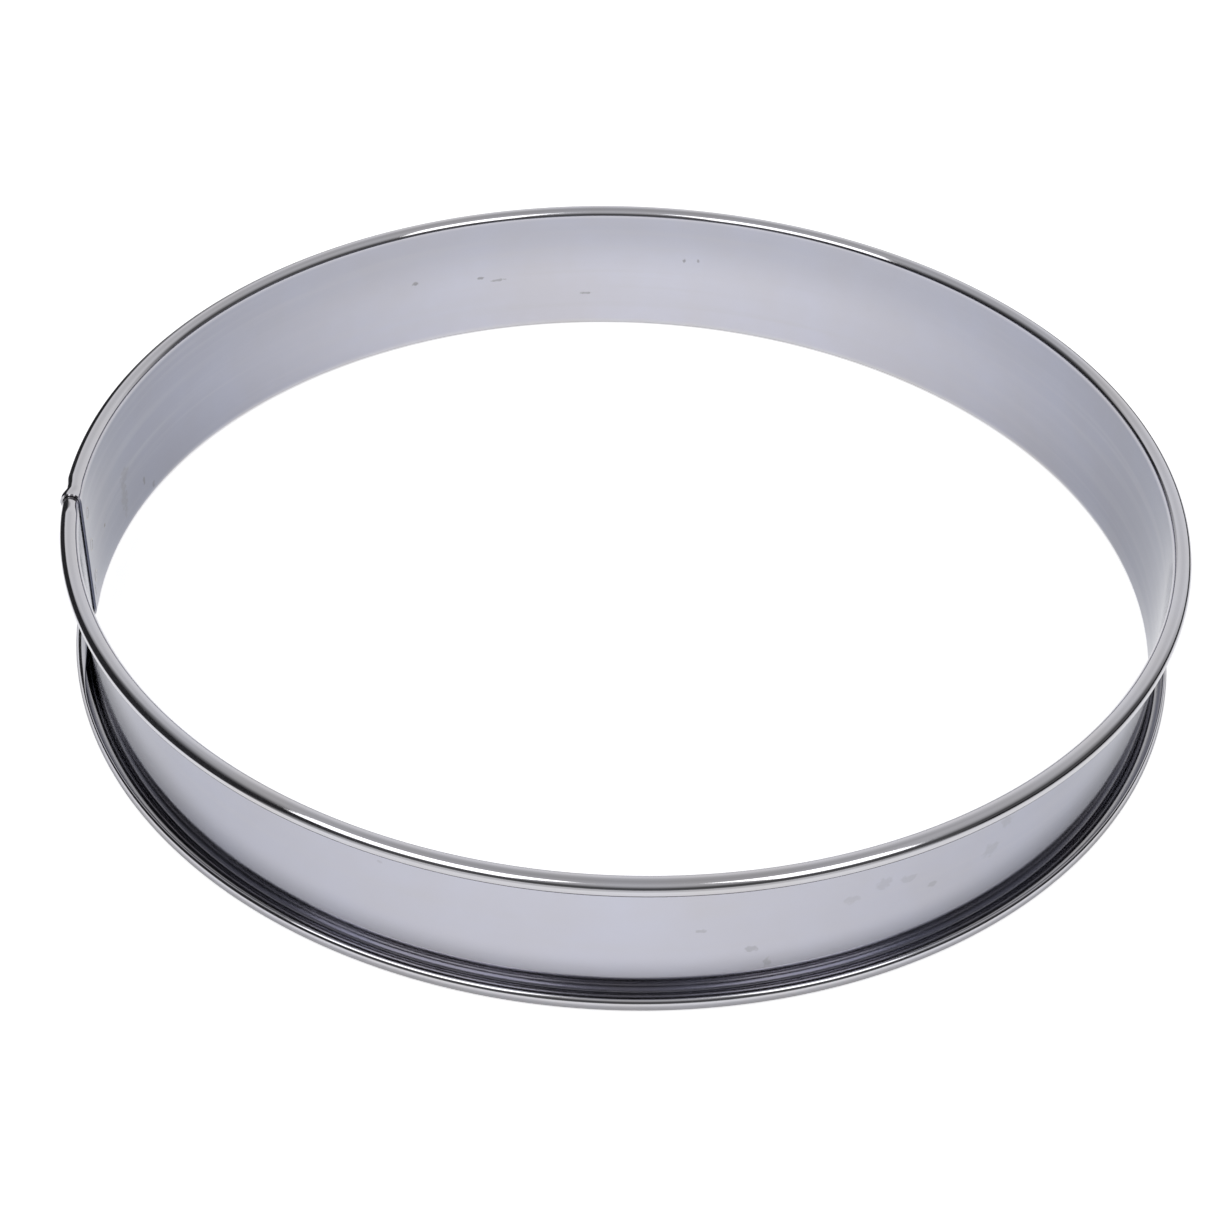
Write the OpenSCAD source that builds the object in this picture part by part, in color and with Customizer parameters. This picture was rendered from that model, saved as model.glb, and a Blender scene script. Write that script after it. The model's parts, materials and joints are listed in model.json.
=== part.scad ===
// Pastry ring: one strip of sheet steel, bent into a hoop.
// Both edges of the strip are rolled outwards into open beads.
// Its ends lap at the seam: the tucked end's slimmer beads lie inside the covering end's.
// The origin is on the surface that the ring stands on, at the middle of the hoop.

/* [Hoop] */
// Diameter inside the wall
inner_d = 240; // [120:1:400]
// Height over both rolled edges
ring_h = 35; // [15:0.5:80]
// Thickness of the sheet
sheet_t = 0.5; // [0.3:0.05:0.65]

/* [Rolled edges] */
// Outside diameter of each bead
bead_d = 4; // [3.2:0.1:6]
// Angle that an edge is rolled through, from the wall to its free edge
roll_angle = 225; // [200:1:290]

/* [Lap seam] */
// Direction in which the seam lies, from +X towards +Y
seam_angle = 188; // [0:1:359]
// Length of the tucked end that lies under the covering end
lap_l = 9; // [5:0.5:18]
// Gap between the two layers of sheet at the lap
lap_gap = 0.1; // [0.05:0.01:0.2]
// Length over which the sheet steps out to pass under the covering end
step_l = 7.5; // [5:0.5:16]
// How far the tucked end's beads lie in from the top and bottom, past one layer of sheet
crimp_drop = 0.6; // [0.3:0.05:0.8]
// Play of the tucked end's beads in the neck of the covering end's
crimp_play = 0.4; // [0.3:0.05:0.6]
// How much slimmer the covering end's beads are at their neck
neck_cut = 0.4; // [0.2:0.05:0.6]
// Length from the start of the neck to the mouth
neck_l = 8; // [6:0.5:16]
// How much wider the covering end's beads are at their mouth
mouth_flare = 0.6; // [0.2:0.05:1]

/* [Spot welds] */
// Number of spot welds that join the two layers
weld_n = 3; // [1:1:5]
// Diameter of a spot weld
weld_d = 2.5; // [1:0.1:4]

/* [Hidden] */
inner_r = inner_d / 2;
bead_r = bead_d / 2;
// One layer of sheet and the gap beside it
layer = sheet_t + lap_gap;
// Length of the even stretch at the neck, and of the one at the mouth
neck_even = 1;
lip_l = 0.8;

// A section of the strip is a list: how far its wall lies out from the inner face,
// how far its beads lie in from the top and bottom, and the radius of its beads
plain = [0, 0, bead_r];
neck = [0, 0, bead_r - neck_cut / 2];
mouth = [0, 0, bead_r + mouth_flare / 2];
tucked = [layer, layer + crimp_drop, neck[2] - layer - crimp_play / 2];

// How deep a tapered stretch sinks into its neighbours, and how far its skin lies inside theirs
sink = 0.05;
skin = 0.06;
// Shares of its radius that a tapered bead runs past its ends, for the hoop's bow and for the bead's lean
bow = 0.05;
lean = 1.3;
// How much of a tapered bead's roll is trimmed: where it meets the wall, and at its free edge
wall_trim = 10;
edge_trim = 2;
// How far a tapered stretch's wall reaches into its beads, past their middles
wall_reach = 0.45;
// How far the wedge that opens a bead reaches out from its middle
opening_reach = 3 * bead_d;
// Size of the wedge that cuts a tapered stretch to its length
cut_reach = 2 * inner_r;
cut_h = 2 * ring_h;

// Facets of the hoop, of its beads and of the welds
hoop_fn = 96;
bead_fn = 24;
weld_fn = 32;
steel = "#c3c5cc";

// Angle round the hoop that a length along the wall takes up
function turn(l) = l / inner_r * 180 / PI;

// Middle of a section's upper bead
function bead_middle(angle, s) = [
    (inner_r + s[0] + s[2]) * cos(angle),
    (inner_r + s[0] + s[2]) * sin(angle),
    ring_h - s[1] - s[2]
];

// Wedge that opens an upper bead from below, between the wall and its free edge
module opening(at_wall = 0, at_edge = 0) {
    wide = 360 - roll_angle;
    polygon([
        [0, 0],
        for (a = [180 - at_wall, 180 + wide / 2, 180 + wide + at_edge])
            opening_reach * [cos(a), sin(a)]
    ]);
}

// Section of an upper bead about its middle. The wall meets it at 180 degrees.
module bead_section(r) {
    difference() {
        circle(r = r, $fn = bead_fn);
        circle(r = r - sheet_t, $fn = bead_fn);
        opening();
    }
}

// Section of the strip, with the hoop's inner face on the vertical axis
module strip_section(s) {
    middle = s[1] + s[2];
    translate([s[0], middle]) square([sheet_t, ring_h - 2 * middle]);
    translate([s[0] + s[2], ring_h - middle]) bead_section(s[2]);
    translate([s[0] + s[2], middle]) mirror([0, 1]) bead_section(s[2]);
}

// Stretch of the hoop with one section throughout
module even_stretch(from, to, s) {
    rotate([0, 0, from])
        rotate_extrude(angle = to - from, $fn = hoop_fn)
            translate([inner_r, 0]) strip_section(s);
}

// Upper bead that tapers from one section to another, running a little past both
module tapered_bead(from, s0, to, s1) {
    start = bead_middle(from, s0);
    way = bead_middle(to, s1) - start;
    shift = norm([s1[0] + s1[2] - s0[0] - s0[2], s1[1] + s1[2] - s0[1] - s0[2]]);
    past = sink + max(s0[2], s1[2]) * (bow + lean * shift / norm(way));
    grow = past * (s1[2] - s0[2]) / norm(way);
    r0 = s0[2] - grow;
    r1 = s1[2] + grow;
    l = norm(way) + 2 * past;
    translate(start)
        rotate([0, acos(way[2] / norm(way)), atan2(way[1], way[0])])
            translate([0, 0, -past])
                difference() {
                    cylinder(h = l, r1 = r0 - skin, r2 = r1 - skin, $fn = bead_fn);
                    cylinder(h = l, r1 = r0 - sheet_t + skin, r2 = r1 - sheet_t + skin, $fn = bead_fn);
                    linear_extrude(height = l)
                        rotate(-90) mirror([0, 1]) opening(wall_trim, edge_trim);
                }
}

// Wall that slants from one section to another
module tapered_wall(from, s0, to, s1) {
    low = max(s0[1] + s0[2], s1[1] + s1[2]) - wall_reach;
    corners = [
        [from, s0[0] + skin],
        [to, s1[0] + skin],
        [to, s1[0] + sheet_t - skin],
        [from, s0[0] + sheet_t - skin]
    ];
    translate([0, 0, low])
        linear_extrude(height = ring_h - 2 * low)
            polygon([for (c = corners) (inner_r + c[1]) * [cos(c[0]), sin(c[0])]]);
}

// Stretch of the hoop that tapers from one section to another
module tapered_stretch(from, s0, to, s1) {
    a0 = from - turn(sink);
    a1 = to + turn(sink);
    intersection() {
        linear_extrude(height = cut_h, center = true)
            polygon([[0, 0], for (a = [a0, a1]) cut_reach * [cos(a), sin(a)]]);
        union() {
            tapered_bead(from, s0, to, s1);
            translate([0, 0, ring_h]) mirror([0, 0, 1]) tapered_bead(from, s0, to, s1);
            tapered_wall(a0, s0, a1, s1);
        }
    }
}

// End that steps out and passes under the covering end
module tucked_end() {
    even_stretch(seam_angle - turn(lap_l), seam_angle, tucked);
    tapered_stretch(seam_angle, tucked, seam_angle + turn(step_l), plain);
}

// End that lies inside, with a neck and a flared mouth on its beads
module covering_end() {
    neck_start = seam_angle - turn((neck_l + neck_even) / 2);
    neck_end = neck_start + turn(neck_even);
    lip_start = seam_angle - turn(lip_l);
    tapered_stretch(seam_angle - turn(neck_l), plain, neck_start, neck);
    even_stretch(neck_start, neck_end, neck);
    tapered_stretch(neck_end, neck, lip_start, mouth);
    even_stretch(lip_start, seam_angle, mouth);
}

// Nuggets that hold the two layers together, spaced evenly up the wall
module spot_welds() {
    for (i = [1:weld_n])
        rotate([0, 0, seam_angle - turn(lap_l / 2)])
            translate([inner_r + sheet_t / 2, 0, ring_h * i / (weld_n + 1)])
                rotate([0, 90, 0]) cylinder(d = weld_d, h = layer, $fn = weld_fn);
}

module ring() {
    color(steel) {
        even_stretch(seam_angle + turn(step_l), seam_angle + 360 - turn(neck_l), plain);
        tucked_end();
        covering_end();
        spot_welds();
    }
}

ring();
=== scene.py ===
"""Looks of the pastry ring: one strip of sheet steel with rolled edges and a lapped seam."""

import json
import math

import bpy
import numpy as np
from mathutils import Matrix, Vector


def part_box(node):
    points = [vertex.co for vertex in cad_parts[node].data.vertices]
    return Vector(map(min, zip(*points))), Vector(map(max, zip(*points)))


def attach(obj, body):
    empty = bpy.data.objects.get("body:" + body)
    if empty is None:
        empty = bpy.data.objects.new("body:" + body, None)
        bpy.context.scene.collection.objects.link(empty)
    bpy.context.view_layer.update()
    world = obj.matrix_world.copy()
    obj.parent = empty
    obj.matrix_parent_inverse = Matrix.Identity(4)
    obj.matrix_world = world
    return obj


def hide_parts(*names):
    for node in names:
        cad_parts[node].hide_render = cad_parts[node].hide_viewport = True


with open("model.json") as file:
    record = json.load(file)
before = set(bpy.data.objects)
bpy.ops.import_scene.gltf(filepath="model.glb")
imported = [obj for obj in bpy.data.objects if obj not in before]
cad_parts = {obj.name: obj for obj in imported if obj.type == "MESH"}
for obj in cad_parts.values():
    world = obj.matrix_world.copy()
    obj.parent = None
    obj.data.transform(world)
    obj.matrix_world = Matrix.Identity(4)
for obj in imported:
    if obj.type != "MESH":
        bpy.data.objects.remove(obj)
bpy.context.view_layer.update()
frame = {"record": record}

# Sizes of the ring, in metres. Its height and inside radius come from the frame.
MM = 0.001
low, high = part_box("ring")
HEIGHT = high.z - low.z
INNER_R = frame["record"]["mounts"][0]["dims"]["r_mm"] * MM
SHEET = 0.5 * MM
BEAD_R = 2 * MM
OUTER_R = INNER_R + 2 * BEAD_R
# Length of the wall once round the hoop
AROUND = 2 * math.pi * INNER_R

# Angle that the edges are rolled through. It is wider beside the seam, where the ends were crimped:
# the length on either side that it is held for, and the length over which it fades.
ROLL = math.radians(225)
SEAM_ROLL = math.radians(285)
TIGHT_L = 12 * MM
TIGHT_FADE = 22 * MM

# Lap seam: its direction, its length and the gap between its layers
SEAM_DEG = 188
SEAM = math.radians(SEAM_DEG)
LAP_L = 9 * MM
LAP_GAP = 0.1 * MM
LAYER = SHEET + LAP_GAP
# Tucked end, which steps out and passes under the other: the step's length, and its beads' radius
# and their distance in from the top and bottom, inside the neck and then in the mouth
STEP_L = 6.5 * MM
TUCK_R = 1.0 * MM
TUCK_DROP = 0.85 * MM
SNUG_R = 1.7 * MM
SNUG_DROP = 0.65 * MM
# Covering end, which lies inside: how much slimmer its beads are at their neck, the neck's length,
# how much wider they are at their mouth, and the length of the mouth's even lip
NECK_CUT = 0.4 * MM
NECK_L = 8 * MM
NECK_EVEN = 1 * MM
MOUTH_FLARE = 0.6 * MM
LIP_L = 0.8 * MM
# Distances back from the mouth between which the neck is even
NECK_NEAR = (NECK_L - NECK_EVEN) / 2
NECK_FAR = NECK_NEAR + NECK_EVEN
# Spot welds
WELD_N = 3
WELD_R = 1.25 * MM

# Spacing of the mesh's stations round the hoop, away from the seam and at it
PLAIN_PITCH = 1.3 * MM
SEAM_PITCH = 0.3 * MM
# Steps of the mesh round a bead, up the wall and round half a free edge
ARC_N = 24
WALL_N = 8
EDGE_N = 3
SHARP_ANGLE = math.radians(40)
# How far out from the inner face the painted shade of a curl begins, on the sheet's other side
CURL_STARTS = 1.05 * SHEET

# Camera as fitted to the photograph: distance from the hoop's middle in inside radii,
# and angles in degrees. The azimuth puts the seam where the photograph shows it.
CAM_DISTANCE = 4.464
CAM_AZIMUTH = -87.8
CAM_ELEVATION = 37.69
CAM_YAW = -0.306
CAM_PITCH = -1.597
CAM_ROLL = 2.031
PHOTO_SIDE_PX = 1220
CAM_FOCAL_PX = 2360.4
SENSOR_MM = 36
CLIP_START = 0.01


def ease(u):
    """Smooth rise from 0 to 1."""
    v = np.clip(u, 0, 1)
    return v * v * (3 - 2 * v)


def stations():
    """Distances along the wall, from the tucked end's edge once round to the covering end's mouth."""
    near = np.arange(-LAP_L, STEP_L, SEAM_PITCH)
    far = np.arange(AROUND - NECK_L, AROUND, SEAM_PITCH)
    count = int((far[0] - STEP_L) / PLAIN_PITCH)
    plain = np.linspace(STEP_L, far[0], count, endpoint=False)
    return np.concatenate([near, plain, far, [AROUND]])


def covering_radius(back):
    """Radius of the covering end's beads at a distance back from its mouth: a neck, then a flare."""
    narrowed = BEAD_R - NECK_CUT / 2 * (1 - ease((back - NECK_FAR) / (NECK_L - NECK_FAR)))
    flared = (MOUTH_FLARE + NECK_CUT) / 2 * (1 - ease((back - LIP_L) / (NECK_NEAR - LIP_L)))
    return narrowed + flared


def widening(u):
    """How far the tucked end's beads have widened between the neck and the mouth, from 0 to 1."""
    return ease((u + NECK_NEAR) / (NECK_NEAR - LIP_L))


def tucked_radius(u):
    """Radius of the tucked end's beads: slim in the neck, wider in the mouth, full past the step."""
    return TUCK_R + (SNUG_R - TUCK_R) * widening(u) + (BEAD_R - SNUG_R) * ease(u / STEP_L)


def roll_at(u):
    """Angle that the edges are rolled through at a distance u along the wall."""
    away = min(max(u, 0), AROUND - u)
    return ROLL + (SEAM_ROLL - ROLL) * (1 - ease((away - TIGHT_L) / TIGHT_FADE))


def section(u):
    """Both skins of the strip's section at a distance u along the wall, as [outwards, up] points."""
    tucked = 1 - ease(u / STEP_L)
    side = LAYER * tucked
    top = (TUCK_DROP + (SNUG_DROP - TUCK_DROP) * widening(u)) * tucked
    r = covering_radius(AROUND - u) if u > STEP_L else tucked_radius(u)
    free = math.pi - roll_at(u)
    z_low, z_top = top + r, HEIGHT - top - r
    arc = np.linspace(math.pi, free, ARC_N + 1)
    wall = np.linspace(z_low, z_top, WALL_N + 2)[1:-1]
    # The free edges are rounded over half the sheet's thickness
    turn = np.linspace(0, math.pi / 2, EDGE_N + 1)[1:]
    half = SHEET / 2
    past = np.concatenate([np.zeros(ARC_N + 1), half * np.sin(turn)]) / (r - half)
    angle = np.concatenate([arc, np.full(EDGE_N, free)]) - past
    skins = []
    for sign in (1, -1):
        radii = np.concatenate([np.full(ARC_N + 1, half * sign), sign * half * np.cos(turn)])
        rho = r - half + radii
        x = side + r + rho * np.cos(angle)
        z = rho * np.sin(angle)
        face = side if sign > 0 else side + SHEET
        upper = np.stack([x, z_top + z], axis=1)
        lower = np.stack([x, z_low - z], axis=1)[::-1]
        middle = np.stack([np.full(WALL_N, face), wall], axis=1)
        skins.append(np.concatenate([lower, middle, upper]))
    return skins


def strip_mesh():
    """The strip as one closed skin, swept once round and a lap further."""
    along = stations()
    points = []
    for u in along:
        inner, outer = section(u)
        loop = np.concatenate([inner, outer[::-1][1:-1]])
        angle = SEAM + u / INNER_R
        radius = INNER_R + loop[:, 0]
        points.append(np.stack([radius * math.cos(angle), radius * math.sin(angle), loop[:, 1]], axis=1))
    n, m, half = len(along), len(points[0]), len(inner)
    faces = []
    for i in range(n - 1):
        for j in range(m):
            k = (j + 1) % m
            faces.append((i * m + j, (i + 1) * m + j, (i + 1) * m + k, i * m + k))
    # The cut faces of the two ends join each point of one skin to its mate on the other
    mate = [(m - j) % m for j in range(half)]
    for i in (0, n - 1):
        for j in range(half - 1):
            a, b, c, d = (i * m + q for q in (j, j + 1, mate[j + 1], mate[j]))
            face = [a, b, c, d] if i == 0 else [d, c, b, a]
            faces.append(tuple(dict.fromkeys(face)))
    mesh = bpy.data.meshes.new("ring_strip")
    mesh.from_pydata(np.concatenate(points).tolist(), [], faces)
    mesh.validate()
    mesh.update()
    return mesh


def sheet_coordinates(mesh):
    """Writes each point's place along and across the sheet in metres, its side, and how deep in a curl."""
    along = stations()
    inner, outer = section(AROUND / 2)
    steps = np.linalg.norm(np.diff(inner, axis=0), axis=1)
    across = np.concatenate([[0], np.cumsum(steps)])
    loop_across = np.concatenate([across, across[::-1][1:-1]])
    m = len(loop_across)
    uv = mesh.uv_layers.new(name="Sheet")
    corners = np.empty(len(mesh.loops), dtype=np.int32)
    mesh.loops.foreach_get("vertex_index", corners)
    flat = np.stack([along[corners // m], loop_across[corners % m]], axis=1)
    # The cut faces of the two ends are laid out past the sheet's ends
    cut = np.arange(len(corners)) >= 4 * (len(along) - 1) * m
    past_end = np.where(corners < m, -SHEET, SHEET)
    flat[:, 0] += np.where(cut & (corners % m >= len(inner)), past_end, 0)
    uv.data.foreach_set("uv", flat.astype(np.float32).ravel())

    # 1 on the side that faces the hoop's middle, and 0 on the other
    ring_side = np.concatenate([np.ones(len(inner)), np.zeros(m - len(inner))])
    # 1 deep in a curl, on the other side only
    rolled = np.abs(outer[:, 1] - HEIGHT / 2) - (HEIGHT / 2 - BEAD_R)
    in_curl = ease((outer[:, 0] - CURL_STARTS) / SHEET) * (rolled > 0)
    curl = np.concatenate([np.zeros(len(inner)), in_curl[::-1][1:-1]])
    for name, values in (("ring_side", ring_side), ("curl", curl)):
        layer = mesh.attributes.new(name, "FLOAT", "POINT")
        layer.data.foreach_set("value", np.tile(values, len(along)).astype(np.float32))


mesh = strip_mesh()
sheet_coordinates(mesh)
mesh.polygons.foreach_set("use_smooth", [True] * len(mesh.polygons))
strip = bpy.data.objects.new("strip", mesh)
bpy.context.collection.objects.link(strip)
mesh.set_sharp_from_angle(angle=SHARP_ANGLE)


# Marks on the sheet, from the photograph. Each has its direction in degrees, its height,
# half its length along the wall and half its height in millimetres, and how strong it is.
INSIDE_MARKS = (
    (172, 15.5, 2.2, 1.6, 0.3),
    (172.6, 10.5, 1.6, 4.5, 0.35),
    (179.6, 13, 0.5, 0.5, 0.9),
    (167.3, 7.2, 0.5, 0.9, 0.6),
    (165.2, 3.4, 0.5, 0.9, 0.5),
    (120.8, 19.3, 0.8, 0.5, 0.6),
    (112, 17.3, 0.9, 0.4, 0.6),
    (109.9, 16, 1.6, 0.35, 0.45),
    (98.5, 10, 1.2, 0.35, 0.5),
    (86.2, 21, 0.5, 0.5, 0.6),
    (84.4, 21.4, 0.4, 0.4, 0.5),
    (187, 6.5, 0.35, 1.6, 0.9),
    (186.4, 9, 0.3, 1.2, 0.8),
)
OUTSIDE_MARKS = (
    (280.3, 19, 0.9, 0.5, 0.27),
    (285.1, 12.7, 1.1, 0.8, 0.3),
    (286.7, 8.4, 0.7, 1.1, 0.3),
    (294.4, 21, 1.4, 0.9, 0.15),
    (297.5, 22.9, 1.6, 1.2, 0.18),
    (300.2, 22.2, 1.5, 0.9, 0.18),
    (303, 18, 0.8, 0.6, 0.27),
    (309.8, 20, 1.7, 1.6, 0.18),
    (311.3, 26, 1.4, 1.3, 0.18),
    (234, 6.5, 0.6, 0.4, 0.24),
    (251, 27, 0.5, 0.4, 0.18),
)
# Where a mark's edge begins and ends, in shares of its half size, and how ragged the edge is
MARK_EDGE = (0.7, 1.3)
RAGGED = 0.45


def along_at(degrees):
    """Distance along the strip, in metres, of a direction round the hoop."""
    return ((degrees - SEAM_DEG) % 360) / 180 * math.pi * INNER_R


def across_at(height):
    """Distance across the strip, from its lower free edge, of a height up the wall, both in metres."""
    edge = math.pi / 4 * SHEET
    return edge + ROLL * BEAD_R + height - BEAD_R


def placed(marks):
    """The marks with their places and sizes on the strip in metres."""
    return [(along_at(a), across_at(h * MM), dl * MM, dh * MM, s) for a, h, dl, dh, s in marks]


def weld_places():
    """Spot welds, on the covering end and on the tucked end, as marks."""
    heights = [HEIGHT * (i + 1) / (WELD_N + 1) for i in range(WELD_N)]
    middles = (AROUND - LAP_L / 2, -LAP_L / 2)
    return [(u, across_at(h), WELD_R, WELD_R, 1) for u in middles for h in heights]


def node(tree, kind, **values):
    """A node with its properties and unlinked inputs set."""
    made = tree.nodes.new(kind)
    for name, value in values.items():
        if hasattr(made, name):
            setattr(made, name, value)
        else:
            made.inputs[name].default_value = value
    return made


def linked(tree, kind, source, **values):
    """A node as above, with a socket linked to its first input."""
    made = node(tree, kind, **values)
    tree.links.new(source, made.inputs[0])
    return made


def maths(tree, operation, first, second=0.0):
    """Output of a Math node on two values, each a socket or a number."""
    made = node(tree, "ShaderNodeMath", operation=operation)
    for socket, value in zip(made.inputs, (first, second)):
        if isinstance(value, bpy.types.NodeSocket):
            tree.links.new(value, socket)
        else:
            socket.default_value = value
    return made.outputs[0]


def ranged(tree, source, low_in, high_in, low_out, high_out):
    """Output of a smooth map from one range of values to another."""
    made = linked(tree, "ShaderNodeMapRange", source, interpolation_type="SMOOTHSTEP")
    names = ("From Min", "From Max", "To Min", "To Max")
    for name, value in zip(names, (low_in, high_in, low_out, high_out)):
        made.inputs[name].default_value = value
    return made.outputs[0]


def separated(tree, source, axis):
    """One of the three parts of a vector."""
    return linked(tree, "ShaderNodeSeparateXYZ", source).outputs[axis]


def noise(tree, source, scale, detail, roughness=0.55):
    """Output of a noise texture stretched by a scale in three directions."""
    drawn = linked(tree, "ShaderNodeMapping", source, vector_type="POINT")
    drawn.inputs["Scale"].default_value = scale
    made = linked(tree, "ShaderNodeTexNoise", drawn.outputs[0], Scale=1.0, Detail=detail, Roughness=roughness)
    return made.outputs[0]


def mark_mask(tree, sheet, marks, wobble=None):
    """How strongly any of the marks shows at a place on the strip, from 0 to 1."""
    total = 0.0
    for along, across, half_l, half_h, strength in marks:
        away = linked(tree, "ShaderNodeVectorMath", sheet, operation="SUBTRACT")
        away.inputs[1].default_value = (along, across, 0)
        shape = linked(tree, "ShaderNodeVectorMath", away.outputs[0], operation="DIVIDE")
        shape.inputs[1].default_value = (half_l, half_h, 1)
        reach = linked(tree, "ShaderNodeVectorMath", shape.outputs[0], operation="LENGTH").outputs["Value"]
        if wobble is not None:
            reach = maths(tree, "ADD", reach, wobble)
        total = maths(tree, "MAXIMUM", ranged(tree, reach, *MARK_EDGE, strength, 0), total)
    return total


def colour_ramp(tree, source, stops):
    """Colour output of a ramp with a colour at each of its stops."""
    ramp = linked(tree, "ShaderNodeValToRGB", source)
    elements = ramp.color_ramp.elements
    while len(elements) < len(stops):
        elements.new(0.5)
    for element, (position, colour) in zip(elements, stops):
        element.position = position
        element.color = (*colour, 1)
    return ramp.outputs[0]


def blend(tree, share, first, second, mode="MIX"):
    """Colour output of a Mix node. The second colour is a socket or a value."""
    made = node(tree, "ShaderNodeMix", data_type="RGBA", blend_type=mode)
    tree.links.new(share, made.inputs["Factor"])
    tree.links.new(first, made.inputs[6])
    if isinstance(second, bpy.types.NodeSocket):
        tree.links.new(second, made.inputs[7])
    else:
        made.inputs[7].default_value = (*second, 1)
    return made.outputs[2]


def bare_material(name):
    """A material without a shader, its node tree and the socket that its shader goes to."""
    mat = bpy.data.materials.new(name)
    mat.use_nodes = True
    tree = mat.node_tree
    tree.nodes.clear()
    return mat, tree, node(tree, "ShaderNodeOutputMaterial").inputs["Surface"]


# Colours of the steel, linear: the sheet's two tints with their places on the ramp, what marks it, and the
# painted shade on the walls and in the curls
SHEET_TINTS = ((0.35, (0.575, 0.565, 0.58)), (0.65, (0.59, 0.59, 0.63)))
WALL_TINT = (0.98, 0.985, 1.04)
SHADE_TINT = (0.04, 0.06, 0.12)
STREAK_TINT = (0.5, 0.49, 0.5)
STREAK_SHARE = 0.16
# Painted shade deep in the curls
CURL_SHADE_TINT = (0.1, 0.095, 0.09)
CURL_SHADE_SHARE = 0.35
HEAT_TINT = (0.3, 0.25, 0.19)
HEAT_SHARE = 2.6
STAIN_TINT = (0.17, 0.165, 0.15)
STAIN_SHARE = 0.85
# Tone of the painted shade on the walls at the sides of the ring, and how fast it falls there, inside and
# outside
INSIDE_TONE, INSIDE_POWER = 0.38, 1.4
OUTSIDE_TONE, OUTSIDE_POWER = 0.5, 2
# Painted shade: how much darker the inside is at its top, away from the ring's sides, between two shares of
# the height, and how much darker the outside is throughout
TOP_SHADE = 0.26
TOP_SHADE_SPAN = (0.4, 0.9)
TOP_SHADE_POWER = 3.0
OUTSIDE_SHADE = 0.1
# Where the wall ends and its edges begin, out from the bead's middle in bead radii
WALL_ENDS = (-0.3, 0.5)

# Roughness of the sheet, smooth and dull patches, and how much rougher its other places are
ROUGHNESS = (0.06, 0.12)
CURL_ROUGHNESS = 0.08
MARK_ROUGHNESS = 0.2
WALL_ROUGHNESS = 0.015
# Heights of the fine marks and of the thin sheet's slow waves, and depth of the welds' dimples
FINE_RELIEF = 0.0012 * MM
WAVE_RELIEF = 0.035 * MM
WELD_DEPTH = 0.06 * MM

# Scales of the noises, per metre: those on the sheet are stretched along it
ROLL_MARK_SCALE = (25, 4000, 1)
STREAK_SCALE = (9, 420, 1)
PATCH_SCALE = (38, 38, 38)
WAVE_SCALE = (55, 55, 40)
GRAIN_SCALE = (2600, 2600, 2600)
RAGGED_SCALE = (900, 900, 900)
# Ranges of the noises that are used: nearly all of one, and the upper part of the streaks
NOISE_SPAN = (0.3, 0.7)
STREAK_SPAN = (0.45, 0.75)
# Least painted shade in a curl
CURL_SHADE_LEAST = 0.75


def wall_mask(tree, across):
    """1 on the wall and 0 on the rolled edges, from the place across the sheet."""
    off_middle = maths(tree, "ABSOLUTE", maths(tree, "SUBTRACT", across, across_at(HEIGHT / 2)))
    wall_top = HEIGHT / 2 - BEAD_R
    inner, outer = (wall_top + share * BEAD_R for share in WALL_ENDS)
    return ranged(tree, off_middle, inner, outer, 1, 0)


def side_shade(tree, front, tone, power):
    """How much darker a wall is painted towards the sides of the ring, as painted shade."""
    rest = maths(tree, "SUBTRACT", 1.0, maths(tree, "POWER", front, power))
    return maths(tree, "MULTIPLY", rest, 1 - tone)


def wall_shade(tree, place, across, ring_side, other_side):
    """How much darker the walls are painted than the rest of the sheet, inside and outside, as painted shade.
    """
    depth = maths(tree, "DIVIDE", separated(tree, place, "Y"), INNER_R)
    front = maths(tree, "MINIMUM", maths(tree, "ABSOLUTE", depth), 1.0)
    start, end = (across_at(share * HEIGHT) for share in TOP_SHADE_SPAN)
    upper = ranged(tree, across, start, end, 0, TOP_SHADE)
    upper = maths(tree, "MULTIPLY", maths(tree, "POWER", front, TOP_SHADE_POWER), upper)
    inside = maths(tree, "ADD", side_shade(tree, front, INSIDE_TONE, INSIDE_POWER), upper)
    outside = maths(tree, "ADD", side_shade(tree, front, OUTSIDE_TONE, OUTSIDE_POWER), OUTSIDE_SHADE)
    inside = maths(tree, "MULTIPLY", inside, ring_side)
    outside = maths(tree, "MULTIPLY", outside, other_side)
    return maths(tree, "ADD", inside, outside)


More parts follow.
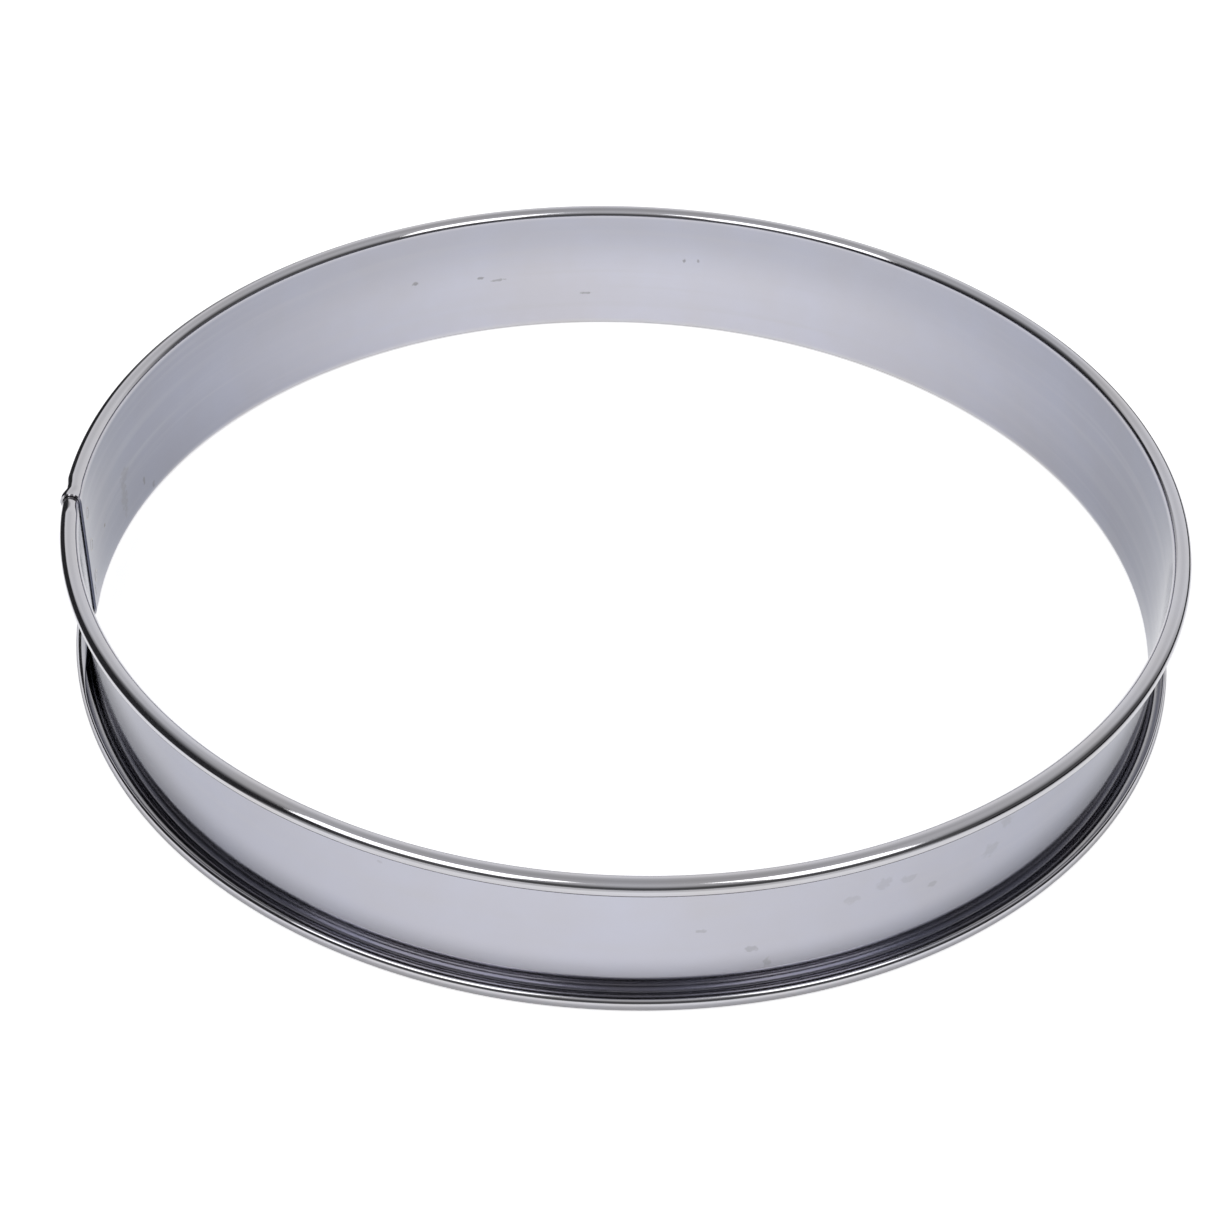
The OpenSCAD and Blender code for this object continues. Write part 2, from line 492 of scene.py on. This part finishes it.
def steel_material():
    """Bright rolled sheet: fine marks along the strip, soft patches, smudges, scuffs and weld spots, with
    painted shade on the walls and deep in the curls.
    """
    mat, tree, surface = bare_material("steel")
    link = tree.links.new
    steel = node(tree, "ShaderNodeBsdfPrincipled", Metallic=1.0, Anisotropic=0.3)
    link(steel.outputs[0], surface)

    place = node(tree, "ShaderNodeTexCoord").outputs["Object"]
    sheet = node(tree, "ShaderNodeUVMap", uv_map="Sheet").outputs[0]
    across = separated(tree, sheet, "Y")
    on_wall = wall_mask(tree, across)
    ring_side = node(tree, "ShaderNodeAttribute", attribute_name="ring_side").outputs["Fac"]
    other_side = maths(tree, "SUBTRACT", 1.0, ring_side)
    curl = node(tree, "ShaderNodeAttribute", attribute_name="curl").outputs["Fac"]

    roll_marks = noise(tree, sheet, ROLL_MARK_SCALE, 4, 0.6)
    streaks = noise(tree, sheet, STREAK_SCALE, 3)
    patches = noise(tree, place, PATCH_SCALE, 3)
    waves = noise(tree, place, WAVE_SCALE, 1)
    grain = noise(tree, place, GRAIN_SCALE, 2)
    ragged = ranged(tree, noise(tree, place, RAGGED_SCALE, 3), *NOISE_SPAN, -RAGGED, RAGGED)

    # Smudges and scuffs, each on its own side of the sheet
    inside = maths(tree, "MULTIPLY", mark_mask(tree, sheet, placed(INSIDE_MARKS), ragged), ring_side)
    outside = maths(tree, "MULTIPLY", mark_mask(tree, sheet, placed(OUTSIDE_MARKS), ragged), other_side)
    marked = maths(tree, "MAXIMUM", inside, outside)
    welds = mark_mask(tree, sheet, weld_places())
    weld_rim = maths(tree, "MULTIPLY", welds, maths(tree, "SUBTRACT", 1.0, welds))
    # Painted shade deep in the curls, stronger in places
    curl_shade = maths(tree, "MULTIPLY", curl, ranged(tree, patches, *NOISE_SPAN, CURL_SHADE_LEAST, 1))

    tint = colour_ramp(tree, patches, SHEET_TINTS)
    bluish = blend(tree, on_wall, tint, WALL_TINT, "MULTIPLY")
    # Painted shade: the walls darker towards the ring's sides, at the inside's top and outside
    shade = maths(tree, "MULTIPLY", wall_shade(tree, place, across, ring_side, other_side), on_wall)
    shaded_walls = blend(tree, shade, bluish, SHADE_TINT)
    streaked = blend(tree, ranged(tree, streaks, *STREAK_SPAN, 0, STREAK_SHARE), shaded_walls, STREAK_TINT)
    # Painted shade deep in the curls
    curl_shaded = blend(tree, maths(tree, "MULTIPLY", curl_shade, CURL_SHADE_SHARE), streaked, CURL_SHADE_TINT)
    heated = blend(tree, maths(tree, "MULTIPLY", weld_rim, HEAT_SHARE), curl_shaded, HEAT_TINT)
    stained = blend(tree, maths(tree, "MULTIPLY", marked, STAIN_SHARE), heated, STAIN_TINT)
    link(stained, steel.inputs["Base Color"])

    worn = ranged(tree, patches, *NOISE_SPAN, *ROUGHNESS)
    for mask, rougher in ((marked, MARK_ROUGHNESS), (curl_shade, CURL_ROUGHNESS), (on_wall, WALL_ROUGHNESS)):
        worn = maths(tree, "ADD", worn, maths(tree, "MULTIPLY", mask, rougher))
    link(worn, steel.inputs["Roughness"])

    fine = maths(tree, "MULTIPLY", maths(tree, "ADD", roll_marks, grain), FINE_RELIEF)
    slow = maths(tree, "MULTIPLY", waves, WAVE_RELIEF)
    dimples = maths(tree, "MULTIPLY", welds, -WELD_DEPTH)
    relief = maths(tree, "ADD", maths(tree, "ADD", fine, slow), dimples)
    bump = node(tree, "ShaderNodeBump", Strength=1.0, Distance=1.0)
    link(relief, bump.inputs["Height"])
    link(bump.outputs[0], steel.inputs["Normal"])

    tangent = node(tree, "ShaderNodeTangent", direction_type="UV_MAP", uv_map="Sheet")
    link(tangent.outputs[0], steel.inputs["Tangent"])
    return mat


mesh.materials.append(steel_material())
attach(strip, "root")
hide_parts("ring")


# Floor: its glow for the metal and for the camera, and where the metal sees less of it: a painted shadow just
# outside the ring's foot, and painted darkness from some way off
FLOOR_SIDE = 20
FLOOR_COLOUR = (0.82, 0.82, 0.825)
FLOOR_GLOW = 0.5
BACKDROP_GLOW = 0.65
FOOT_SHADE_L = 8 * MM
GLOW_FADE = (40 * MM, 130 * MM)
GLOW_FAR = 0.1


def plain_mesh(name, corners, faces):
    """An object with a mesh of its own, linked to the scene."""
    made = bpy.data.meshes.new(name)
    made.from_pydata(corners, [], faces)
    thing = bpy.data.objects.new(name, made)
    bpy.context.collection.objects.link(thing)
    return thing


def floor_object():
    """White table under the ring, which glows for the camera and the metal, with a painted shadow by the
    ring's foot and painted darkness far off that only the metal sees.
    """
    half = FLOOR_SIDE / 2
    corners = [(x, y, low.z) for x, y in ((-half, -half), (half, -half), (half, half), (-half, half))]
    floor = plain_mesh("floor", corners, [(0, 1, 2, 3)])
    mat, tree, surface = bare_material("white_table")
    link = tree.links.new
    paper = node(tree, "ShaderNodeBsdfDiffuse")
    paper.inputs["Color"].default_value = (*FLOOR_COLOUR, 1)

    seen = node(tree, "ShaderNodeLightPath").outputs
    place = node(tree, "ShaderNodeTexCoord").outputs["Object"]
    middle = linked(tree, "ShaderNodeVectorMath", place, operation="LENGTH").outputs["Value"]
    # Painted shadow in the metal's view just outside the ring's foot, and painted darkness far off
    outside = ranged(tree, middle, OUTER_R, OUTER_R + FOOT_SHADE_L, 0, 1)
    open_floor = maths(tree, "MAXIMUM", ranged(tree, middle, INNER_R, INNER_R + BEAD_R, 1, 0), outside)
    fade_starts, fade_ends = (OUTER_R + away for away in GLOW_FADE)
    far = ranged(tree, middle, fade_starts, fade_ends, 1, GLOW_FAR)
    reflected = maths(tree, "MULTIPLY", seen["Is Glossy Ray"], maths(tree, "MULTIPLY", open_floor, far))
    reflected = maths(tree, "MULTIPLY", reflected, FLOOR_GLOW)
    looked_at = maths(tree, "MAXIMUM", seen["Is Camera Ray"], seen["Is Transmission Ray"])
    looked_at = maths(tree, "MULTIPLY", looked_at, BACKDROP_GLOW)

    glow = node(tree, "ShaderNodeEmission")
    link(maths(tree, "MAXIMUM", looked_at, reflected), glow.inputs["Strength"])
    both = node(tree, "ShaderNodeAddShader")
    link(paper.outputs[0], both.inputs[0])
    link(glow.outputs[0], both.inputs[1])
    link(both.outputs[0], surface)
    floor.data.materials.append(mat)


floor_object()


# Profiles of the cards beside the ring, from their foot up: distance from the ring and height in
# metres, and how solid the card is there
CARD_LIFT = 1 * MM
LEFT_CARD = (
    (0.05, CARD_LIFT, 0),
    (0.075, CARD_LIFT, 1),
    (0.5, CARD_LIFT, 1),
    (0.5, 0.25, 1),
    (0.5, 0.3, 0),
)
RIGHT_CARD = ((0.16, CARD_LIFT, 1), (0.16, 0.045, 1), (0.16, 0.055, 0))
CARD_COLOUR = (0.05, 0.05, 0.053)
# Steps of a card round the ring, and those over which its ends fade
CARD_STEPS = 24
CARD_FADE = 4


def card_material(name):
    """Black card that is as solid as its mesh says, and else see-through."""
    mat, tree, surface = bare_material(name)
    black = node(tree, "ShaderNodeBsdfDiffuse")
    black.inputs["Color"].default_value = (*CARD_COLOUR, 1)
    share = node(tree, "ShaderNodeAttribute", attribute_name="solid").outputs["Fac"]
    mixed = linked(tree, "ShaderNodeMixShader", share)
    tree.links.new(node(tree, "ShaderNodeBsdfTransparent").outputs[0], mixed.inputs[1])
    tree.links.new(black.outputs[0], mixed.inputs[2])
    tree.links.new(mixed.outputs[0], surface)
    return mat


def dark_card(name, start, end, profile):
    """Bent black card beside the ring, which only the metal sees, with soft ends. Directions in degrees."""
    rows = len(profile)
    corners, solid = [], []
    for i in range(CARD_STEPS + 1):
        a = math.radians(start + (end - start) * i / CARD_STEPS)
        near_end = min(i, CARD_STEPS - i, CARD_FADE) / CARD_FADE
        for gap, height, here in profile:
            away = OUTER_R + gap
            corners.append((away * math.cos(a), away * math.sin(a), low.z + height))
            solid.append(near_end * here)
    faces = [
        (rows * i + j, rows * i + j + 1, rows * (i + 1) + j + 1, rows * (i + 1) + j)
        for i in range(CARD_STEPS)
        for j in range(rows - 1)
    ]
    card = plain_mesh(name, corners, faces)
    card.data.attributes.new("solid", "FLOAT", "POINT").data.foreach_set("value", solid)
    card.data.materials.append(card_material(name))
    card.visible_camera = False
    card.visible_diffuse = False
    card.visible_shadow = False


dark_card("card_left", 106, 240, LEFT_CARD)
dark_card("card_right", -56, 76, RIGHT_CARD)


# Softboxes: elevation in degrees, height and distance in metres, and how bright their faces are
LAMP_ELEVATION = 44
LAMP_TALL = 0.62
LAMP_DISTANCE = 1.2
LAMP_RADIANCE = 2.2


def softbox(name, azimuth, wide):
    """Area lamp aimed at the ring. Azimuth 0 is +X and 90 is +Y, in degrees."""
    data = bpy.data.lights.new(name, "AREA")
    data.shape = "RECTANGLE"
    data.size = wide
    data.size_y = LAMP_TALL
    data.energy = LAMP_RADIANCE * math.pi * wide * LAMP_TALL
    lamp = bpy.data.objects.new(name, data)
    a, e = math.radians(azimuth), math.radians(LAMP_ELEVATION)
    away = Vector((math.cos(a) * math.cos(e), math.sin(a) * math.cos(e), math.sin(e)))
    lamp.location = away * LAMP_DISTANCE
    lamp.rotation_mode = "QUATERNION"
    lamp.rotation_quaternion = away.to_track_quat("Z", "Y")
    lamp.visible_camera = False
    bpy.context.collection.objects.link(lamp)


softbox("softbox_left", 234, 0.80)
softbox("softbox_right", 314, 0.50)


# Tones of the room by elevation in degrees: in front of the table, at its left and behind it
FRONT_TONES = ((0, 0.26), (5, 0.12), (20, 0.08), (32, 0.33), (45, 0.58), (58, 0.62), (75, 0.52), (90, 0.47))
LEFT_TONES = ((0, 0.1), (5, 0.08), (25, 0.07), (36, 0.18), (48, 0.45), (60, 0.58), (75, 0.52), (90, 0.47))
BACK_TONES = ((0, 0.95), (30, 0.88), (48, 0.66), (60, 0.55), (82, 0.46), (90, 0.47))
# Where the left and the back begin and are full, as shares of the way there
LEFT_STARTS, LEFT_FULL = 0.55, 0.9
BACK_STARTS, BACK_FULL = 0.3, 0.75
# How much more blue than red the room has
ROOM_BLUE = 1.02


def tone_ramp(tree, share, tones):
    """Colour output of a ramp of tones over a quarter turn of elevation."""
    return colour_ramp(tree, share, [(degrees / 90, (t, t, t * ROOM_BLUE)) for degrees, t in tones])


def studio_world():
    """Light backdrop, grey ceiling, and the dark room in front and at the sides. The camera sees white."""
    world = bpy.data.worlds.new("studio")
    bpy.context.scene.world = world
    world.use_nodes = True
    tree = world.node_tree
    tree.nodes.clear()
    link = tree.links.new
    out = node(tree, "ShaderNodeOutputWorld")
    way = node(tree, "ShaderNodeTexCoord").outputs["Generated"]
    split = linked(tree, "ShaderNodeSeparateXYZ", way).outputs
    level = maths(tree, "POWER", maths(tree, "SUBTRACT", 1.0, maths(tree, "POWER", split["Z"], 2.0)), 0.5)
    share = maths(tree, "DIVIDE", maths(tree, "ARCTAN2", split["Z"], level), math.pi / 2)
    left = ranged(tree, maths(tree, "DIVIDE", split["X"], level), -LEFT_FULL, -LEFT_STARTS, 1, 0)
    back = ranged(tree, maths(tree, "DIVIDE", split["Y"], level), BACK_STARTS, BACK_FULL, 0, 1)
    front = blend(tree, left, tone_ramp(tree, share, FRONT_TONES), tone_ramp(tree, share, LEFT_TONES))
    seen = blend(tree, back, front, tone_ramp(tree, share, BACK_TONES))
    camera = node(tree, "ShaderNodeLightPath").outputs["Is Camera Ray"]
    room = node(tree, "ShaderNodeBackground")
    link(blend(tree, camera, seen, (1, 1, 1)), room.inputs["Color"])
    link(room.outputs[0], out.inputs[0])


studio_world()


def photo_camera():
    """Camera at the photograph's viewing angle, aimed as fitted: yaw, pitch, then roll."""
    centre = Vector((0, 0, (low.z + high.z) / 2))
    azimuth, elevation = math.radians(CAM_AZIMUTH), math.radians(CAM_ELEVATION)
    flat = Vector((math.cos(azimuth), math.sin(azimuth), 0)) * math.cos(elevation)
    away = (flat + Vector((0, 0, math.sin(elevation)))) * CAM_DISTANCE * INNER_R
    forward = -away.normalized()
    right = Vector((-math.sin(azimuth), math.cos(azimuth), 0))
    up = right.cross(forward)
    aim = forward + math.tan(math.radians(CAM_YAW)) * right + math.tan(math.radians(CAM_PITCH)) * up
    aim.normalize()
    level = aim.cross(Vector((0, 0, 1))).normalized()
    upright = level.cross(aim)
    roll = math.radians(CAM_ROLL)
    across = math.cos(roll) * level + math.sin(roll) * upright
    top = -math.sin(roll) * level + math.cos(roll) * upright
    data = bpy.data.cameras.new("photo_camera")
    data.sensor_fit = "HORIZONTAL"
    data.sensor_width = SENSOR_MM
    data.lens = CAM_FOCAL_PX / PHOTO_SIDE_PX * SENSOR_MM
    data.clip_start = CLIP_START
    camera = bpy.data.objects.new("photo_camera", data)
    turned = Matrix((across, top, -aim)).transposed().to_4x4()
    camera.matrix_world = Matrix.Translation(centre + away) @ turned
    bpy.context.collection.objects.link(camera)
    bpy.context.scene.camera = camera


photo_camera()
bpy.context.scene.view_settings.view_transform = "Standard"
